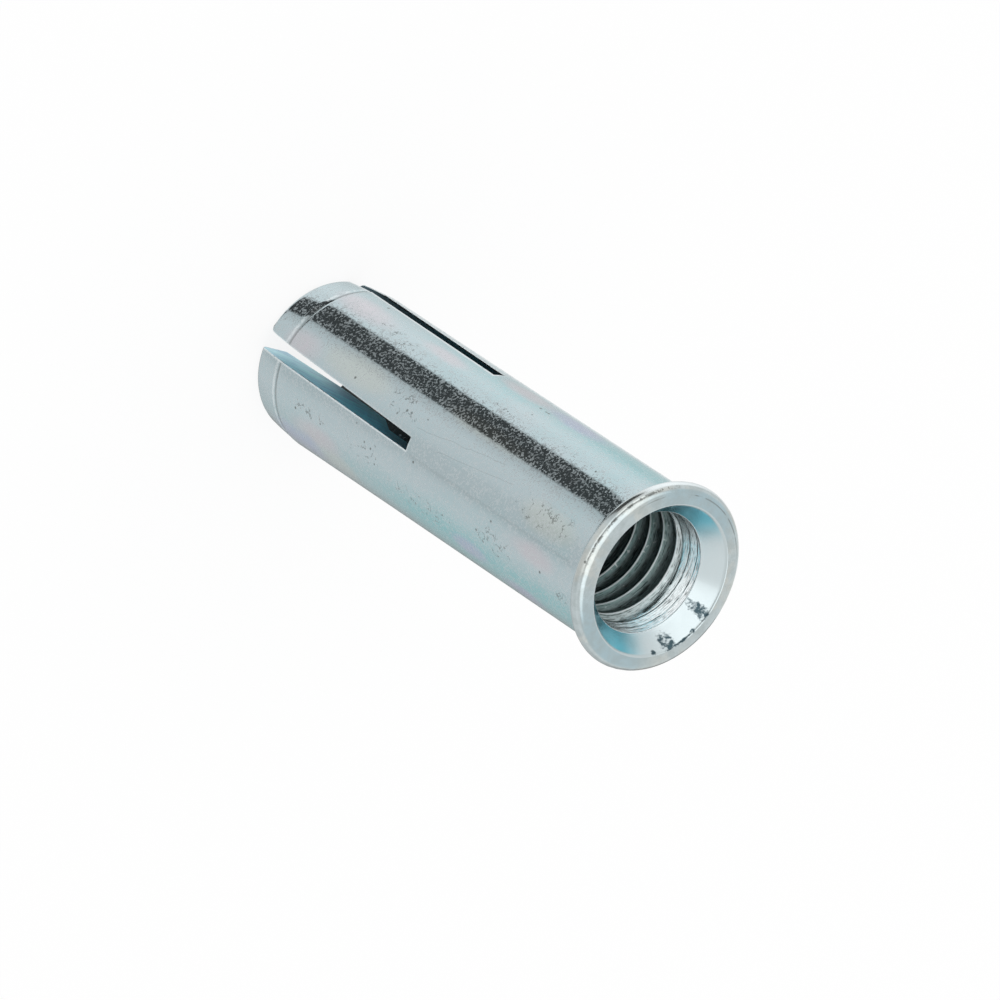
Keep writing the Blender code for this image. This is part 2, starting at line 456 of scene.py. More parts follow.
class Nodes:
    """Short helpers to wire a node tree."""

    def __init__(self, tree):
        self.tree = tree

    def add(self, kind, **values):
        node = self.tree.nodes.new(kind)
        for key, value in values.items():
            setattr(node, key, value)
        return node

    def link(self, source, target):
        self.tree.links.new(source, target)

    def put(self, socket, value):
        """A number or a color goes onto the socket, an output is linked to it."""
        if isinstance(value, (int, float, tuple)):
            socket.default_value = value
        else:
            self.link(value, socket)

    def math(self, operation, first, second=0.0, third=None, clamp=False):
        node = self.add("ShaderNodeMath", operation=operation, use_clamp=clamp)
        for socket, value in zip(node.inputs, (first, second, third)):
            if value is not None:
                self.put(socket, value)
        return node.outputs[0]

    def plus(self, first, second, clamp=False):
        return self.math("ADD", first, second, clamp=clamp)

    def minus(self, first, second):
        return self.math("SUBTRACT", first, second)

    def times(self, first, second, clamp=False):
        return self.math("MULTIPLY", first, second, clamp=clamp)

    def over(self, first, second):
        return self.math("DIVIDE", first, second)

    def apart(self, value, level):
        """How far a value lies from a level, up or down."""
        return self.math("ABSOLUTE", self.minus(value, level))

    def wrapped(self, angle, half_turn):
        """An angle brought to between minus and plus half a turn."""
        return self.math("WRAP", angle, half_turn, -half_turn)

    def mix(self, share, first, second):
        node = self.add("ShaderNodeMix", data_type="RGBA")
        for socket, value in ((node.inputs[0], share), (node.inputs[6], first), (node.inputs[7], second)):
            self.put(socket, value)
        return node.outputs[2]

    def mix_shaders(self, share, first, second):
        node = self.add("ShaderNodeMixShader")
        for socket, source in zip(node.inputs, (share, first, second)):
            self.link(source, socket)
        return node.outputs[0]

    def ramp(self, value, stops):
        """A run of straight stretches through stops, each a position with a color or a level."""
        node = self.add("ShaderNodeValToRGB")
        elements = node.color_ramp.elements
        while len(elements) < len(stops):
            elements.new(0.5)
        for element, (position, color) in zip(elements, stops):
            element.position = position
            element.color = color if isinstance(color, tuple) else grey(color)
        self.link(value, node.inputs["Fac"])
        return node.outputs["Color"]

    def rise(self, value, low, high):
        """A smooth step from 0 at low to 1 at high; low may lie above high."""
        node = self.add("ShaderNodeMapRange", interpolation_type="SMOOTHSTEP")
        reverse = low > high
        self.put(node.inputs["Value"], value)
        node.inputs["From Min"].default_value = min(low, high)
        node.inputs["From Max"].default_value = max(low, high)
        node.inputs["To Min"].default_value = 1.0 if reverse else 0.0
        node.inputs["To Max"].default_value = 0.0 if reverse else 1.0
        return node.outputs["Result"]

    def split(self, vector):
        """The x, y and z of a vector."""
        node = self.add("ShaderNodeSeparateXYZ")
        self.link(vector, node.inputs[0])
        return node.outputs

    def joined(self, x, y):
        """A vector of an x and a y, for a texture to follow."""
        node = self.add("ShaderNodeCombineXYZ")
        self.link(x, node.inputs[0])
        self.link(y, node.inputs[1])
        return node.outputs[0]


class Finish(Nodes):
    """A metal finish: a Principled material with coordinates about the anchor's axis.

    Its angle is in degrees from the camera's side, its height and radius in mm from the tip and the axis.
    """

    def __init__(self, name):
        self.material = bpy.data.materials.new(name)
        self.material.use_nodes = True
        super().__init__(self.material.node_tree)
        self.shader = self.tree.nodes["Principled BSDF"]
        self.shader.inputs["Metallic"].default_value = 1.0
        self.object = self.add("ShaderNodeTexCoord").outputs["Object"]
        x, y, z = self.split(self.object)
        turn = self.wrapped(self.minus(self.math("ARCTAN2", y, x), FACING), pi)
        self.angle = self.math("DEGREES", turn)
        self.height = self.over(z, MM)
        radius = self.math("SQRT", self.plus(self.times(x, x), self.times(y, y)))
        self.radius = self.over(radius, MM)

    def set(self, name, value):
        self.put(self.shader.inputs[name], value)

    def scaled(self, x, y, z):
        node = self.add("ShaderNodeMapping")
        node.inputs["Scale"].default_value = (x, y, z)
        self.link(self.object, node.inputs["Vector"])
        return node.outputs["Vector"]

    def noise(self, scale, detail=2.0, roughness=0.5, vector=None, seed=0.0):
        node = self.add("ShaderNodeTexNoise", noise_dimensions="4D")
        node.inputs["Scale"].default_value = scale
        node.inputs["Detail"].default_value = detail
        node.inputs["Roughness"].default_value = roughness
        node.inputs["W"].default_value = seed
        self.link(vector or self.object, node.inputs["Vector"])
        return node.outputs["Fac"]

    def swing(self, amount, *noise, **more):
        """Noise about zero, up to half the amount each way."""
        return self.times(self.minus(self.noise(*noise, **more), 0.5), amount)

    def cells(self, scale):
        node = self.add("ShaderNodeTexVoronoi")
        node.inputs["Scale"].default_value = scale
        self.link(self.object, node.inputs["Vector"])
        return node.outputs["Distance"], node.outputs["Color"]

    def bump(self, height, distance, below=None):
        node = self.add("ShaderNodeBump")
        node.inputs["Distance"].default_value = distance
        self.link(height, node.inputs["Height"])
        if below is not None:
            self.link(below, node.inputs["Normal"])
        return node.outputs["Normal"]

    def patch(self, angle, height, half_angle, half_height, ragged=0.5, scale=900.0, outer=1.3, inner=0.3):
        """A soft ragged spot about an angle and a height, with half its reach both ways."""
        across = self.over(self.wrapped(self.minus(self.angle, angle), 180.0), half_angle)
        along = self.over(self.minus(self.height, height), half_height)
        far = self.plus(self.times(across, across), self.times(along, along))
        edge = self.swing(ragged * 4, scale, 3.0, 0.6, seed=angle)
        return self.rise(self.plus(far, edge), outer, inner)

    def patches(self, places, **look):
        return self.together([self.patch(*place, **look) for place in places])

    def together(self, shares):
        """The largest of several shares."""
        total = shares[0]
        for share in shares[1:]:
            total = self.math("MAXIMUM", total, share)
        return total

    def stroke(self, start, end, half_width, wobble):
        """A line over the outside between two places, each an angle and a height."""
        per_degree = BODY_RADIUS / MM * pi / 180
        fade = 0.4
        run = end[1] - start[1]
        lean = (end[0] - start[0]) * per_degree / run
        climbed = self.minus(self.height, start[1])
        across = self.times(self.minus(self.angle, start[0]), per_degree)
        off = self.minus(across, self.times(climbed, lean))
        sway = self.swing(wobble, 500.0, 2.0, seed=start[0])
        near = self.rise(self.math("ABSOLUTE", self.plus(off, sway)), half_width, half_width * 0.3)
        inside = self.times(self.rise(climbed, 0.0, fade), self.rise(climbed, run, run - fade))
        return self.times(near, inside)


# Finishes, in mm and in degrees from the camera's side

TOP = LENGTH / MM

# Plating outside: its plain grey, the films and blooms on it, the worn lip, dirt, a white for painted
# highlights and a pale band, and a dark for marks, painted shade and a painted reflection
NEUTRAL = (0.555, 0.665, 0.70, 1.0)
TEAL = (0.33, 0.655, 0.69, 1.0)
BLUSH = (0.68, 0.645, 0.685, 1.0)
LILAC = (0.50, 0.56, 0.75, 1.0)
IVORY = (0.635, 0.685, 0.645, 1.0)
LIP_GREY = (0.635, 0.72, 0.735, 1.0)
LIP_CREAM = (0.705, 0.74, 0.71, 1.0)
LIP_BLUE = (0.46, 0.62, 0.68, 1.0)
DIRT = (0.46, 0.52, 0.52, 1.0)
BRIGHT_SPECK = (0.74, 0.80, 0.82, 1.0)
HIGHLIGHT_AND_BAND_WHITE = (0.91, 0.98, 1.0, 1.0)
GRIME_AND_SHADE = (0.16, 0.17, 0.16, 1.0)

# Roughness of the plating all over, and what its matt specks and the lip add
PLATING_ROUGHNESS = 0.05
SPECK_ROUGHNESS = 0.31
LIP_ROUGHNESS = 0.11

# Share of the teal film once round the sleeve: 0 and 1 lie away from the camera, 0.5 on its side
TEAL_ROUND = [
    (0.00, 0.45), (0.15, 0.20), (0.25, 0.05), (0.30, 0.50), (0.335, 0.55),
    (0.36, 0.20), (0.40, 0.08), (0.47, 0.0), (0.61, 0.04), (0.64, 0.40),
    (0.665, 0.90), (0.69, 1.0), (0.72, 0.95), (0.78, 0.45), (1.00, 0.45),
]
# And up the sleeve, by share of its length
TEAL_UP = [(0.0, 0.30), (0.22, 0.35), (0.55, 1.0), (0.93, 1.0), (0.965, 0.10), (1.0, 0.05)]

# Places of the blooms and pits: angle, height, and half the reach both ways
PINK_PLACES = [
    (-46, 5.8, 8, 2.6), (-51, 14.0, 5, 2.0), (-68, 21.5, 7, 2.2),
    (1, 4.2, 8, 1.6), (55, 7.6, 8, 2.2), (33, 33.0, 6, 2.0),
]
CREAM_PLACES = [(70, 9.6, 9, 2.0), (-4, 10.5, 8, 3.0), (9, 33.5, 8, 2.4), (-18, 24.0, 5, 4.0)]
LILAC_PLACES = [(-69, 27.0, 7, 2.4), (70, 5.0, 10, 2.4), (63, 25.5, 6, 1.6), (75, 31.0, 6, 2.0)]
TEAL_PLACES = [(-70, 34.0, 9, 4.0), (68, 23.0, 10, 5.0), (68, 33.0, 10, 3.0)]
PITTED_PLACES = [
    (8, 33.2, 10, 3.6), (52, 20.4, 8, 3.8), (43, 28.6, 9, 2.2), (38, 13.4, 12, 2.2), (39, 6.8, 5, 2.2),
    (-42, 31.0, 5, 2.0), (-41, 10.0, 6, 3.2), (-4, 16.2, 9, 2.6), (50, 36.1, 4, 0.9), (-40, 22.4, 5, 1.8),
]
BLOOMS = [
    (TEAL_PLACES, TEAL, 0.90),
    (PINK_PLACES, BLUSH, 0.80),
    (CREAM_PLACES, IVORY, 0.70),
    (LILAC_PLACES, LILAC, 0.85),
]

# Lip: a dark line on the front ring, a painted dark reflection along the edge, and a painted highlight on one
# side
RING_LINE_RADIUS = 6.22
RING_LINE_MIDDLE = -85.0
EDGE_REFLECTION_HEIGHT = TOP - 0.15
EDGE_REFLECTION_MIDDLE = -22.0
GLINT_MIDDLE = -72.0

# Tip's crease: painted shade along it, and a paler band below it
CREASE_SHADE_HEIGHT = CREASE_HEIGHT / MM - 0.08
PALE_BAND_HEIGHT = CREASE_HEIGHT / MM - 0.42

# Widths of the painted highlight lines along the slots in front and behind, and along those at the sides
FRONT_SLOT_LINE = 0.07
SIDE_SLOT_LINE = 0.20
SLOT_LINE_SOFT = 0.08


def plated(finish, calm):
    """Fine crystals of the plating, matt among bright ones and none where it is calm, under an orange peel.

    Sets the roughness, and returns the share of matt crystals and the normal.
    """
    clumps = finish.times(finish.noise(1500.0, 2.0, seed=14.0), 0.22)
    specks = finish.plus(finish.noise(5800.0, 2.0, 0.55, seed=1.0), clumps)
    matt = finish.times(finish.rise(specks, 0.60, 0.70), finish.minus(1.0, calm))
    broad = finish.noise(600.0, 3.0, 0.6, seed=5.0)
    level = finish.plus(PLATING_ROUGHNESS, finish.times(broad, 0.05))
    level = finish.plus(level, finish.times(calm, LIP_ROUGHNESS))
    finish.set("Roughness", finish.plus(level, finish.times(matt, SPECK_ROUGHNESS)))
    fine = finish.bump(finish.noise(6500.0, 2.0, 0.6, seed=2.0), 0.0012 * MM)
    return matt, finish.bump(finish.noise(2600.0, 2.0, 0.6, seed=8.0), 0.0030 * MM, below=fine)


def film_color(finish):
    """Cool grey with a teal film to both sides, and soft teal, pink, cream and lilac blooms."""
    film = finish.ramp(finish.plus(finish.over(finish.angle, 360.0), 0.5), TEAL_ROUND)
    drift = finish.swing(0.9, 160.0, 3.0, 0.55)
    up = finish.ramp(finish.over(finish.height, TOP), TEAL_UP)
    color = finish.mix(finish.times(finish.plus(film, drift), up, clamp=True), NEUTRAL, TEAL)
    for places, tint, amount in BLOOMS:
        bloom = finish.patches(places, ragged=0.7, scale=260.0, outer=2.6, inner=-0.2)
        color = finish.mix(finish.times(bloom, amount), color, tint)
    return color


def lip_color(finish, on_front, mottle):
    """The lip's worn grey, creamy in places, bluer at the ring's sides, with a painted highlight on one side
    of the edge.
    """
    creamy = finish.rise(finish.noise(420.0, 3.0, 0.6, seed=16.0), 0.44, 0.58)
    color = finish.mix(creamy, LIP_GREY, LIP_CREAM)
    away = finish.math("ABSOLUTE", finish.angle)
    sides = finish.times(finish.rise(away, 20.0, 60.0), finish.rise(away, 140.0, 105.0))
    color = finish.mix(finish.times(finish.times(sides, on_front), 0.8), color, LIP_BLUE)
    color = finish.mix(finish.times(mottle, 0.45), color, DIRT)
    # Painted highlight on the edge's left side, below the painted dark reflection
    under = finish.rise(finish.height, TOP - 0.16, TOP - 0.30)
    glint = finish.rise(finish.apart(finish.angle, GLINT_MIDDLE), 42.0, 26.0)
    return finish.mix(finish.times(under, glint), color, HIGHLIGHT_AND_BAND_WHITE)


def lip_lines(finish, on_front):
    """Shares of a broken dark line on the front ring, and of a broken painted dark reflection along the lip's
    edge.
    """
    near = finish.rise(finish.apart(finish.radius, RING_LINE_RADIUS), 0.06, 0.02)
    reach = finish.rise(finish.apart(finish.angle, RING_LINE_MIDDLE), 60.0, 35.0)
    broken = finish.rise(finish.noise(500.0, 3.0, 0.7, seed=15.0), 0.42, 0.52)
    ring_line = finish.times(finish.times(near, finish.times(reach, on_front)), broken)
    # Painted dark reflection along the lip's edge
    near = finish.rise(finish.apart(finish.height, EDGE_REFLECTION_HEIGHT), 0.09, 0.04)
    near = finish.times(near, finish.minus(1.0, on_front))
    reach = finish.rise(finish.apart(finish.angle, EDGE_REFLECTION_MIDDLE), 50.0, 30.0)
    broken = finish.rise(finish.noise(1500.0, 3.0, 0.7, seed=17.0), 0.48, 0.56)
    return ring_line, finish.times(near, finish.times(reach, broken))


def pitting(finish):
    """Shares of the pits, which are few outside the pitted places, and of the fine cracks in those places."""
    pitted = finish.patches(PITTED_PLACES, ragged=0.6)
    spot, chance = finish.cells(1900.0)
    few = finish.plus(finish.times(pitted, 0.30), 0.10)
    pits = finish.times(finish.rise(spot, 0.26, 0.12), finish.math("LESS_THAN", chance, few))
    vein = finish.apart(finish.noise(1050.0, 3.0, 0.6, seed=9.0), 0.5)
    broken = finish.rise(finish.noise(1500.0, 2.0, seed=12.0), 0.47, 0.55)
    return pits, finish.times(finish.rise(vein, 0.020, 0.006), finish.times(broken, pitted))


def slot_highlights(finish):
    """Share of the painted highlight lines on the outside along the slots' edges, fainter on one side of each
    slot.
    """
    x, y = finish.split(finish.scaled(1 / MM, 1 / MM, 1 / MM))[:2]
    forward = finish.times(y, cos(SLOT_OUT_OF_SQUARE))
    turned = finish.minus(forward, finish.times(x, sin(SLOT_OUT_OF_SQUARE)))
    lean = finish.times(finish.minus(finish.height, SLOT_END / MM / 2), tan(SLOT_SKEW))
    taper = (SLOT_WIDTH_END - SLOT_WIDTH_TIP) / SLOT_END / 2
    half = finish.plus(finish.times(finish.height, taper), SLOT_WIDTH_TIP / MM / 2)
    above = finish.minus(finish.height, SLOT_END / MM)
    lines = []
    for off, width in (
        (finish.plus(x, lean), FRONT_SLOT_LINE),
        (finish.minus(lean, turned), SIDE_SLOT_LINE),
    ):
        beyond = finish.minus(finish.math("ABSOLUTE", off), half)
        near = finish.rise(finish.math("MAXIMUM", beyond, above), width + SLOT_LINE_SOFT, width)
        side = finish.plus(finish.times(finish.rise(off, -0.1, 0.1), 0.6), 0.25)
        lines.append(finish.times(near, side))
    broken = finish.rise(finish.noise(1300.0, 3.0, 0.6, seed=19.0), 0.28, 0.42)
    return finish.times(finish.together(lines), broken)


def zinc_finish():
    """Blue-passivated zinc outside: its films, the worn lip, pits, cracks and scratches, painted shade in the
    crease, and painted highlights on the lip and along the slots' edges.
    """
    finish = Finish("zinc_plating")
    lip = finish.rise(finish.height, (LENGTH - LIP_FLARE) / MM, TOP - 0.4)
    on_front = finish.rise(finish.height, TOP - 0.10, TOP - 0.02)
    mottle = finish.rise(finish.noise(1300.0, 4.0, 0.65, seed=18.0), 0.35, 0.65)
    matt, grain = plated(finish, lip)
    color = finish.mix(finish.times(mottle, 0.07), film_color(finish), DIRT)
    color = finish.mix(lip, color, lip_color(finish, on_front, mottle))
    color = finish.mix(finish.times(matt, 0.45), color, BRIGHT_SPECK)

    # A paler band on the taper below the crease, ragged with the mottle
    pale_band = finish.rise(finish.apart(finish.height, PALE_BAND_HEIGHT), 0.20, 0.06)
    pale_band = finish.times(pale_band, finish.rise(mottle, 0.9, 0.4))
    color = finish.mix(finish.times(pale_band, 0.6), color, HIGHLIGHT_AND_BAND_WHITE)
    # Painted shade along the tip's crease
    crease_shade = finish.rise(finish.apart(finish.height, CREASE_SHADE_HEIGHT), 0.17, 0.05)
    pits, cracks = pitting(finish)
    ring_line, edge_reflection = lip_lines(finish, on_front)
    scratches = finish.together([
        finish.stroke((5.5, 17.8), (-7.0, 27.4), 0.035, 0.5),
        finish.stroke((12.0, 20.5), (1.0, 29.0), 0.03, 0.4),
    ])
    seam = finish.stroke((23.5, 18.2), (23.0, 37.0), 0.16, 0.1)
    # Dark marks: pits, cracks, scratches, a seam and the front ring's line, with painted shade in the crease
    # and a painted dark reflection on the lip's edge
    grime_and_shade = finish.together([
        finish.times(pits, 0.80),
        finish.times(edge_reflection, 0.75),
        finish.times(cracks, 0.65),
        finish.times(scratches, 0.24),
        finish.times(seam, 0.09),
        finish.times(crease_shade, 0.45),
        finish.times(ring_line, 0.55),
    ])
    color = finish.mix(grime_and_shade, color, GRIME_AND_SHADE)
    # Painted highlights along the slots' edges
    finish.set("Base Color", finish.mix(slot_highlights(finish), color, HIGHLIGHT_AND_BAND_WHITE))
    dents = finish.minus(1.0, finish.together([pits, cracks]))
    finish.set("Normal", finish.bump(dents, 0.010 * MM, below=grain))
    return finish.material


CONE_WHITE = (0.72, 0.81, 0.83, 1.0)
CONE_TEAL = (0.22, 0.68, 0.82, 1.0)
CONE_DARK = (0.03, 0.07, 0.09, 1.0)
# Two dark stars and three smaller marks: angle, height, half the reach both ways, and raggedness
CONE_MARKS = [
    (178, TOP - 0.50, 5.0, 0.85, 1.0),
    (142, TOP - 0.45, 6.5, 0.62, 1.0),
    (128, TOP - 0.16, 2.2, 0.18, 0.6),
    (163, TOP - 0.10, 2.8, 0.12, 0.6),
    (153, TOP - 0.06, 9.0, 0.07, 0.9),
]


def cone_finish():
    """The mouth's cone: teal on both sides, white beyond them, with the dark marks and a grey upper edge."""
    finish = Finish("zinc_mouth")
    away = finish.math("ABSOLUTE", finish.angle)
    film = finish.times(finish.rise(away, 35.0, 50.0), finish.rise(away, 128.0, 92.0))
    drift = finish.swing(0.7, 500.0, 3.0, 0.6)
    color = finish.mix(finish.plus(film, finish.times(drift, film), clamp=True), CONE_WHITE, CONE_TEAL)
    color = finish.mix(finish.rise(finish.height, TOP - 0.22, TOP - 0.08), color, LIP_GREY)
    marks = finish.patches(CONE_MARKS, scale=3200.0)
    speckle = finish.rise(finish.noise(4200.0, 2.0, seed=4.0), 0.34, 0.52)
    dark = finish.times(marks, finish.plus(finish.times(speckle, 0.8), 0.15))
    finish.set("Base Color", finish.mix(dark, color, CONE_DARK))
    broad = finish.noise(500.0, 3.0, 0.6, seed=5.0)
    finish.set("Roughness", finish.plus(finish.times(broad, 0.16), 0.16))
    rings = finish.noise(2600.0, 2.0, 0.5, vector=finish.scaled(0.3, 0.3, 2.0), seed=6.0)
    finish.set("Normal", finish.bump(rings, 0.003 * MM))
    return finish.material


# Film on the sawn faces, by share of the sleeve's length, with painted shade darkening it towards the slots'
# closed ends
CUT_FILM_AND_SHADE = [
    (0.00, (0.64, 0.92, 0.98, 1.0)), (0.10, (0.58, 0.94, 0.98, 1.0)), (0.17, (0.50, 0.88, 0.97, 1.0)),
    (0.24, (0.38, 0.88, 0.95, 1.0)), (0.34, (0.30, 0.82, 0.90, 1.0)), (0.40, (0.18, 0.55, 0.62, 1.0)),
    (0.46, (0.08, 0.20, 0.22, 1.0)),
]
CUT_BLUE = (0.20, 0.36, 0.60, 1.0)
CUT_SHADE = (0.0, 0.012, 0.025, 1.0)
BURR_SHADOW = (0.03, 0.04, 0.04, 1.0)
# Angle of the upper slot, whose faces get painted shade, and the radius where a burr's painted shadow begins
UPPER_SLOT = -71.0
BURR_SHADOW_RADIUS = BODY_RADIUS / MM - 0.12


def cut_finish():
    """Sawn slot faces: a blue film near the tip that turns to deep teal, with painted shade towards the
    slots' ends, over slanting saw marks.
    """
    finish = Finish("zinc_cut_faces")
    # Film colour, darkened as painted shade towards the slots' closed ends
    film = finish.ramp(finish.over(finish.height, TOP), CUT_FILM_AND_SHADE)
    slant = finish.plus(finish.times(finish.height, 0.55), finish.radius)
    place = finish.joined(slant, finish.times(finish.height, 0.15))
    streaks = finish.noise(3.6, 3.0, 0.65, vector=place, seed=2.0)
    color = finish.mix(finish.rise(streaks, 0.36, 0.60), finish.mix(0.5, film, CUT_BLUE), film)
    # Painted shade on the upper slot's faces
    upper = finish.rise(finish.apart(finish.angle, UPPER_SLOT), 22.0, 16.0)
    color = finish.mix(finish.times(upper, 0.82), color, CUT_SHADE)
    # Painted shadow of a burr, broken, along the faces' outer edge
    burr_shadow = finish.rise(finish.radius, BURR_SHADOW_RADIUS - 0.05, BURR_SHADOW_RADIUS)
    broken = finish.rise(finish.noise(1800.0, 2.0, seed=8.0), 0.40, 0.50)
    finish.set("Base Color", finish.mix(finish.times(burr_shadow, broken), color, BURR_SHADOW))
    finish.set("Roughness", finish.plus(finish.times(streaks, 0.2), 0.38))
    finish.set("Normal", finish.bump(streaks, 0.03 * MM))
    return finish.material


# Painted shade up the bore, darker deeper in, by share of the sleeve's length
BORE_PAINTED_SHADE = [
    (0.55, (0.08, 0.10, 0.105, 1.0)), (0.76, (0.13, 0.20, 0.20, 1.0)), (0.83, (0.18, 0.265, 0.26, 1.0)),
    (0.88, (0.30, 0.40, 0.395, 1.0)), (0.905, (0.68, 0.76, 0.77, 1.0)), (0.96, (0.86, 0.90, 0.91, 1.0)),
]
ROOT_PAINTED_LIGHT = (0.62, 0.74, 0.74, 1.0)
SCORE_DARK = (0.0, 0.01, 0.01, 1.0)
GROOVE_SHADE = (0.01, 0.02, 0.02, 1.0)
CREST_HIGHLIGHT = (0.92, 0.96, 0.96, 1.0)
BORE_GLINT = (0.84, 0.89, 0.90, 1.0)
LEAD_HEIGHT = LEAD_START / MM


def bore_finish():
    """Tapped thread and bore: silvery near the mouth and darker below as painted shade, with cutting marks
    along the thread.
    """
    finish = Finish("zinc_bore")
    color = finish.ramp(finish.over(finish.height, TOP), BORE_PAINTED_SHADE)

    # Where the full thread and its shallow lead-in lie, and the place in the thread's section
    full = finish.rise(finish.height, LEAD_HEIGHT + 0.6, LEAD_HEIGHT)
    full = finish.times(full, finish.rise(finish.height, THREAD_BOTTOM / MM, THREAD_BOTTOM / MM + 1.5))
    lead = finish.rise(finish.height, LEAD_HEIGHT - 0.3, LEAD_HEIGHT + 0.3)
    turned = finish.over(finish.plus(finish.angle, degrees(FACING)), 360.0)
    phase = finish.over(finish.minus(finish.height, CREST_PHASE / MM), THREAD_PITCH / MM)
    section = finish.math("FRACT", finish.minus(phase, turned))
    # Painted light on the flanks towards the roots, against the shade of the crest above
    root_painted_light = finish.times(finish.rise(section, 0.18, 0.40), finish.times(full, 0.55))
    color = finish.mix(root_painted_light, color, ROOT_PAINTED_LIGHT)

    # Marks that the tap left, which climb with the thread; their seam is on the wall below the camera
    far = finish.wrapped(finish.plus(finish.angle, 180.0), 180.0)
    climb = finish.times(far, THREAD_PITCH / MM / 360)
    place = finish.joined(finish.minus(finish.height, climb), finish.times(far, 0.004))
    marks = finish.noise(12.0, 2.0, 0.6, vector=place, seed=4.0)
    color = finish.mix(finish.rise(marks, 0.37, 0.44), finish.mix(0.65, color, SCORE_DARK), color)
    fine = finish.noise(34.0, 2.0, 0.6, vector=place, seed=6.0)
    color = finish.mix(finish.times(finish.rise(fine, 0.48, 0.38), 0.6), color, SCORE_DARK)

    # Painted shade in the grooves between the lead-in's steps, painted highlights along the crests, and
    # glints
    step = finish.math("FRACT", finish.times(section, 2.0))
    groove_shade = finish.times(finish.rise(step, 0.74, 0.84), finish.minus(1.0, full))
    groove_shade = finish.times(groove_shade, finish.rise(finish.noise(700.0, 3.0, 0.6, seed=20.0), 0.30, 0.45))
    color = finish.mix(finish.times(finish.times(groove_shade, lead), 0.93), color, GROOVE_SHADE)
    crest = finish.rise(finish.apart(section, 0.13), 0.035, 0.015)
    color = finish.mix(finish.times(finish.times(crest, full), 0.7), color, CREST_HIGHLIGHT)
    glints = finish.rise(finish.noise(3600.0, 2.0, seed=3.0), 0.62, 0.70)
    finish.set("Base Color", finish.mix(finish.times(glints, 0.45), color, BORE_GLINT))
    level = finish.minus(0.30, finish.times(lead, 0.16))
    finish.set("Roughness", finish.plus(finish.times(marks, 0.20), level))
    finish.set("Normal", finish.bump(marks, 0.016 * MM))
    return finish.material


EDGE_DARK = (0.40, 0.46, 0.48, 1.0)
EDGE_BRIGHT = (0.90, 0.98, 1.0, 1.0)


def edge_finish():
    """Bright worn edges of the slots and of the cone's lower rim, which mirror less than the plating."""
    finish = Finish("zinc_edges")
    finish.shader.inputs["Metallic"].default_value = 0.3
    wear = finish.noise(3800.0, 3.0, 0.6, seed=6.0)
    finish.set("Base Color", finish.mix(finish.rise(wear, 0.30, 0.42), EDGE_DARK, EDGE_BRIGHT))
    finish.set("Roughness", finish.plus(finish.times(wear, 0.2), 0.40))
    finish.set("Normal", finish.bump(wear, 0.008 * MM))
    return finish.material


PLUG_SHADE_DARK = (0.10, 0.13, 0.14, 1.0)
PLUG_SHADE_GREY = (0.30, 0.34, 0.35, 1.0)


def plug_finish():
    """Plated steel darkened with painted shade, in soft spots, with fine turning marks."""
    finish = Finish("plug_steel")
    spots = finish.noise(1200.0, 3.0, 0.6)
    finish.set("Base Color", finish.mix(spots, PLUG_SHADE_DARK, PLUG_SHADE_GREY))
    rings = finish.noise(3000.0, 2.0, vector=finish.scaled(0.15, 0.15, 3.0), seed=5.0)
    finish.set("Roughness", finish.plus(finish.times(spots, 0.2), 0.30))
    finish.set("Normal", finish.bump(rings, 0.015 * MM))
    return finish.material


# Pieces


def build_sleeve():
    mesh = SleeveGrid().build()
    for material in (zinc_finish(), cut_finish(), bore_finish(), cone_finish(), edge_finish()):
        mesh.materials.append(material)
    obj = link("zinc_sleeve", mesh)
    bevel = obj.modifiers.new("Edges", "BEVEL")
    bevel.limit_method = "WEIGHT"
    bevel.width = EDGE_BEVEL
    bevel.segments = 2
    bevel.use_clamp_overlap = False
    bevel.material = EDGE
    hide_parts("sleeve")
    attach(obj, "sleeve")


def plug_mesh():
    """The plug turned from its section, which runs down the outside from the top."""
    profile = [
        (0.0, PLUG_LENGTH),
        (PLUG_TOP_RADIUS - PLUG_CHAMFER, PLUG_LENGTH),
        (PLUG_TOP_RADIUS, PLUG_LENGTH - PLUG_CHAMFER),
        (PLUG_NOSE_RADIUS, PLUG_CHAMFER),
        (PLUG_NOSE_RADIUS - PLUG_CHAMFER, 0.0),
        (0.0, 0.0),
    ]
    turn = [2 * pi * i / PLUG_STEPS for i in range(PLUG_STEPS)]
    bm = bmesh.new()
    rings = []
    for radius, z in profile:
        angles = turn if radius else turn[:1]
        rings.append([bm.verts.new((radius * cos(a), radius * sin(a), PLUG_LOW[2] + z)) for a in angles])
    for upper, lower in zip(rings, rings[1:]):
        for i in range(PLUG_STEPS):
            k = (i + 1) % PLUG_STEPS
            around = ((upper, i), (upper, k), (lower, k), (lower, i))
            corners = [ring[n % len(ring)] for ring, n in around]
            bm.faces.new(list(dict.fromkeys(corners)))
    bmesh.ops.recalc_face_normals(bm, faces=bm.faces)
    for face in bm.faces:
        face.smooth = True
    mesh = bpy.data.meshes.new("plug")
    bm.to_mesh(mesh)
    bm.free()
    mesh.set_sharp_from_angle(angle=radians(30))
    return mesh


def build_plug():
    mesh = plug_mesh()
    mesh.materials.append(plug_finish())
    obj = link("plug", mesh)
    bevel = obj.modifiers.new("Edges", "BEVEL")
    bevel.limit_method = "ANGLE"
    bevel.angle_limit = radians(25)
    bevel.width = PLUG_EDGE_BEVEL
    bevel.segments = 2
    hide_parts("expander_plug")
    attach(obj, "plug")


# Stage

# The floor lies a hair below the tip, so that the two are never in one plane
FLOOR_GAP = 0.02 * MM
FLOOR_SIZE = 1.6
FLOOR_PAINT = grey(0.9)
FLOOR_WHITE = 1.02
FLOOR_WHITE_SHARE = 0.86


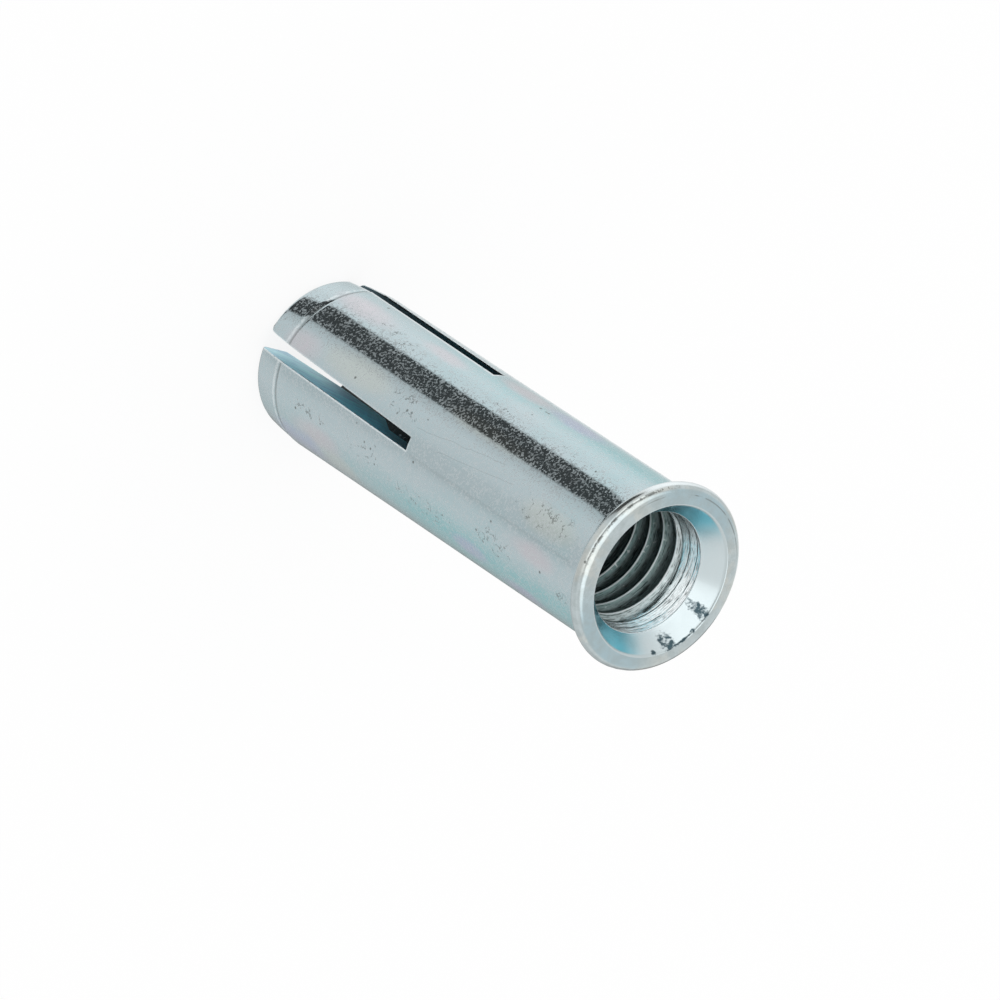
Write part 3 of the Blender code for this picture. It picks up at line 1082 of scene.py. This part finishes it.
def build_floor():
    """A pale floor that the camera sees as nearly white, with the anchor's shadow on it."""
    bpy.ops.mesh.primitive_plane_add(size=FLOOR_SIZE)
    floor = bpy.context.object
    floor.name = "floor"
    material = bpy.data.materials.new("floor_white")
    material.use_nodes = True
    nodes = Nodes(material.node_tree)
    nodes.tree.nodes.clear()
    paint = nodes.add("ShaderNodeBsdfDiffuse")
    paint.inputs["Color"].default_value = FLOOR_PAINT
    white = nodes.add("ShaderNodeEmission")
    white.inputs["Strength"].default_value = FLOOR_WHITE
    seen = nodes.add("ShaderNodeLightPath").outputs["Is Camera Ray"]
    mixed = nodes.mix_shaders(nodes.times(seen, FLOOR_WHITE_SHARE), paint.outputs[0], white.outputs[0])
    nodes.link(mixed, nodes.add("ShaderNodeOutputMaterial").inputs["Surface"])
    floor.data.materials.append(material)
    floor.location.z = -FLOOR_GAP
    floor.visible_glossy = False


# Brightness of the white tent round the object below eye level, by direction: 0 and 1 lie behind the
# object, 0.5 on the camera's side
TENT = [
    (0.00, 0.88), (0.035, 0.93), (0.07, 0.73), (0.10, 0.73), (0.133, 0.76), (0.167, 0.86), (0.20, 0.93),
    (0.233, 0.98), (0.267, 0.93), (0.31, 0.92), (0.42, 0.64), (0.433, 0.69), (0.467, 0.79), (0.533, 0.755),
    (0.567, 0.68), (0.633, 0.645), (0.667, 0.74), (0.733, 0.76), (0.80, 0.69), (0.867, 0.62), (0.90, 0.54),
    (0.933, 0.45), (0.967, 0.34), (1.00, 0.22),
]
# Its brightness above eye level, by the sine of the elevation
DOME = [(0.0, 0.70), (0.30, 0.82), (0.50, 0.80), (0.72, 0.75), (0.80, 0.66), (0.86, 1.25), (1.0, 1.40)]
DOME_START = (-0.12, 0.15)
# The dark gap between two sheets of the tent, which reflects as a stripe, by direction and up to its top
GAP_CENTER = 0.3674
GAP_HALF = 0.047
GAP_SOFT = 0.002
GAP_TOP = (-0.05, -0.15)
GAP_DARK = 0.065
# Over the camera, a bright panel with a dark slit above it, by direction and by the sine of the elevation
FRONT_CENTER = 0.437
FRONT_HALF = 0.146
FRONT_SOFT = 0.035
PANEL_LOW = 0.34
PANEL_HIGH = 0.60
PANEL_SOFT = 0.09
PANEL_LEVEL = 1.35
SLIT_HIGH = 0.76
SLIT_SOFT = 0.02
SLIT_LEVEL = 0.35


def tent_light(nodes):
    """The tent's brightness in every direction."""
    x, y, z = nodes.split(nodes.add("ShaderNodeTexCoord").outputs["Generated"])
    turn = nodes.over(nodes.minus(nodes.math("ARCTAN2", y, x), FACING - pi), 2 * pi)
    around = nodes.math("FRACT", nodes.plus(turn, 1.0))
    level = nodes.ramp(around, TENT)
    gap = nodes.rise(nodes.apart(around, GAP_CENTER), GAP_HALF + GAP_SOFT, GAP_HALF - GAP_SOFT)
    level = nodes.mix(nodes.times(gap, nodes.rise(z, *GAP_TOP)), level, grey(GAP_DARK))
    level = nodes.mix(nodes.rise(z, *DOME_START), level, nodes.ramp(z, DOME))
    front = nodes.rise(nodes.apart(around, FRONT_CENTER), FRONT_HALF + FRONT_SOFT, FRONT_HALF - FRONT_SOFT)
    for low, high, soft, bright in (
        (PANEL_LOW, PANEL_HIGH, PANEL_SOFT, PANEL_LEVEL),
        (PANEL_HIGH, SLIT_HIGH, SLIT_SOFT, SLIT_LEVEL),
    ):
        start = nodes.rise(z, low - soft, low + soft)
        band = nodes.times(start, nodes.rise(z, high + SLIT_SOFT, high - SLIT_SOFT))
        level = nodes.mix(nodes.times(front, band), level, grey(bright))
    return level


def build_world():
    """The tent lights the anchor and is mirrored in it; the camera itself sees plain white."""
    world = bpy.data.worlds.new("white_tent")
    bpy.context.scene.world = world
    world.use_nodes = True
    nodes = Nodes(world.node_tree)
    nodes.tree.nodes.clear()
    tent = nodes.add("ShaderNodeBackground")
    nodes.link(tent_light(nodes), tent.inputs["Color"])
    plain = nodes.add("ShaderNodeBackground")
    plain.inputs["Color"].default_value = grey(1.0)
    seen = nodes.add("ShaderNodeLightPath").outputs["Is Camera Ray"]
    mixed = nodes.mix_shaders(seen, tent.outputs[0], plain.outputs[0])
    nodes.link(mixed, nodes.add("ShaderNodeOutputWorld").inputs["Surface"])


def build_camera():
    data = bpy.data.cameras.new("camera")
    data.lens = LENS
    data.sensor_width = SENSOR
    data.clip_end = 10.0
    camera = bpy.data.objects.new("camera", data)
    bpy.context.scene.collection.objects.link(camera)
    forward = Vector((sin(AZIMUTH) * cos(ELEVATION), cos(AZIMUTH) * cos(ELEVATION), -sin(ELEVATION)))
    level_right = Vector((cos(AZIMUTH), -sin(AZIMUTH), 0.0))
    level_up = level_right.cross(forward)
    right = cos(ROLL) * level_right + sin(ROLL) * level_up
    up = right.cross(forward)
    turn = Matrix((right, up, -forward)).transposed()
    camera.matrix_world = Matrix.Translation(AIM - DISTANCE * forward) @ turn.to_4x4()
    bpy.context.scene.camera = camera


build_sleeve()
build_plug()
build_floor()
build_world()
build_camera()
bpy.context.scene.view_settings.view_transform = "Standard"
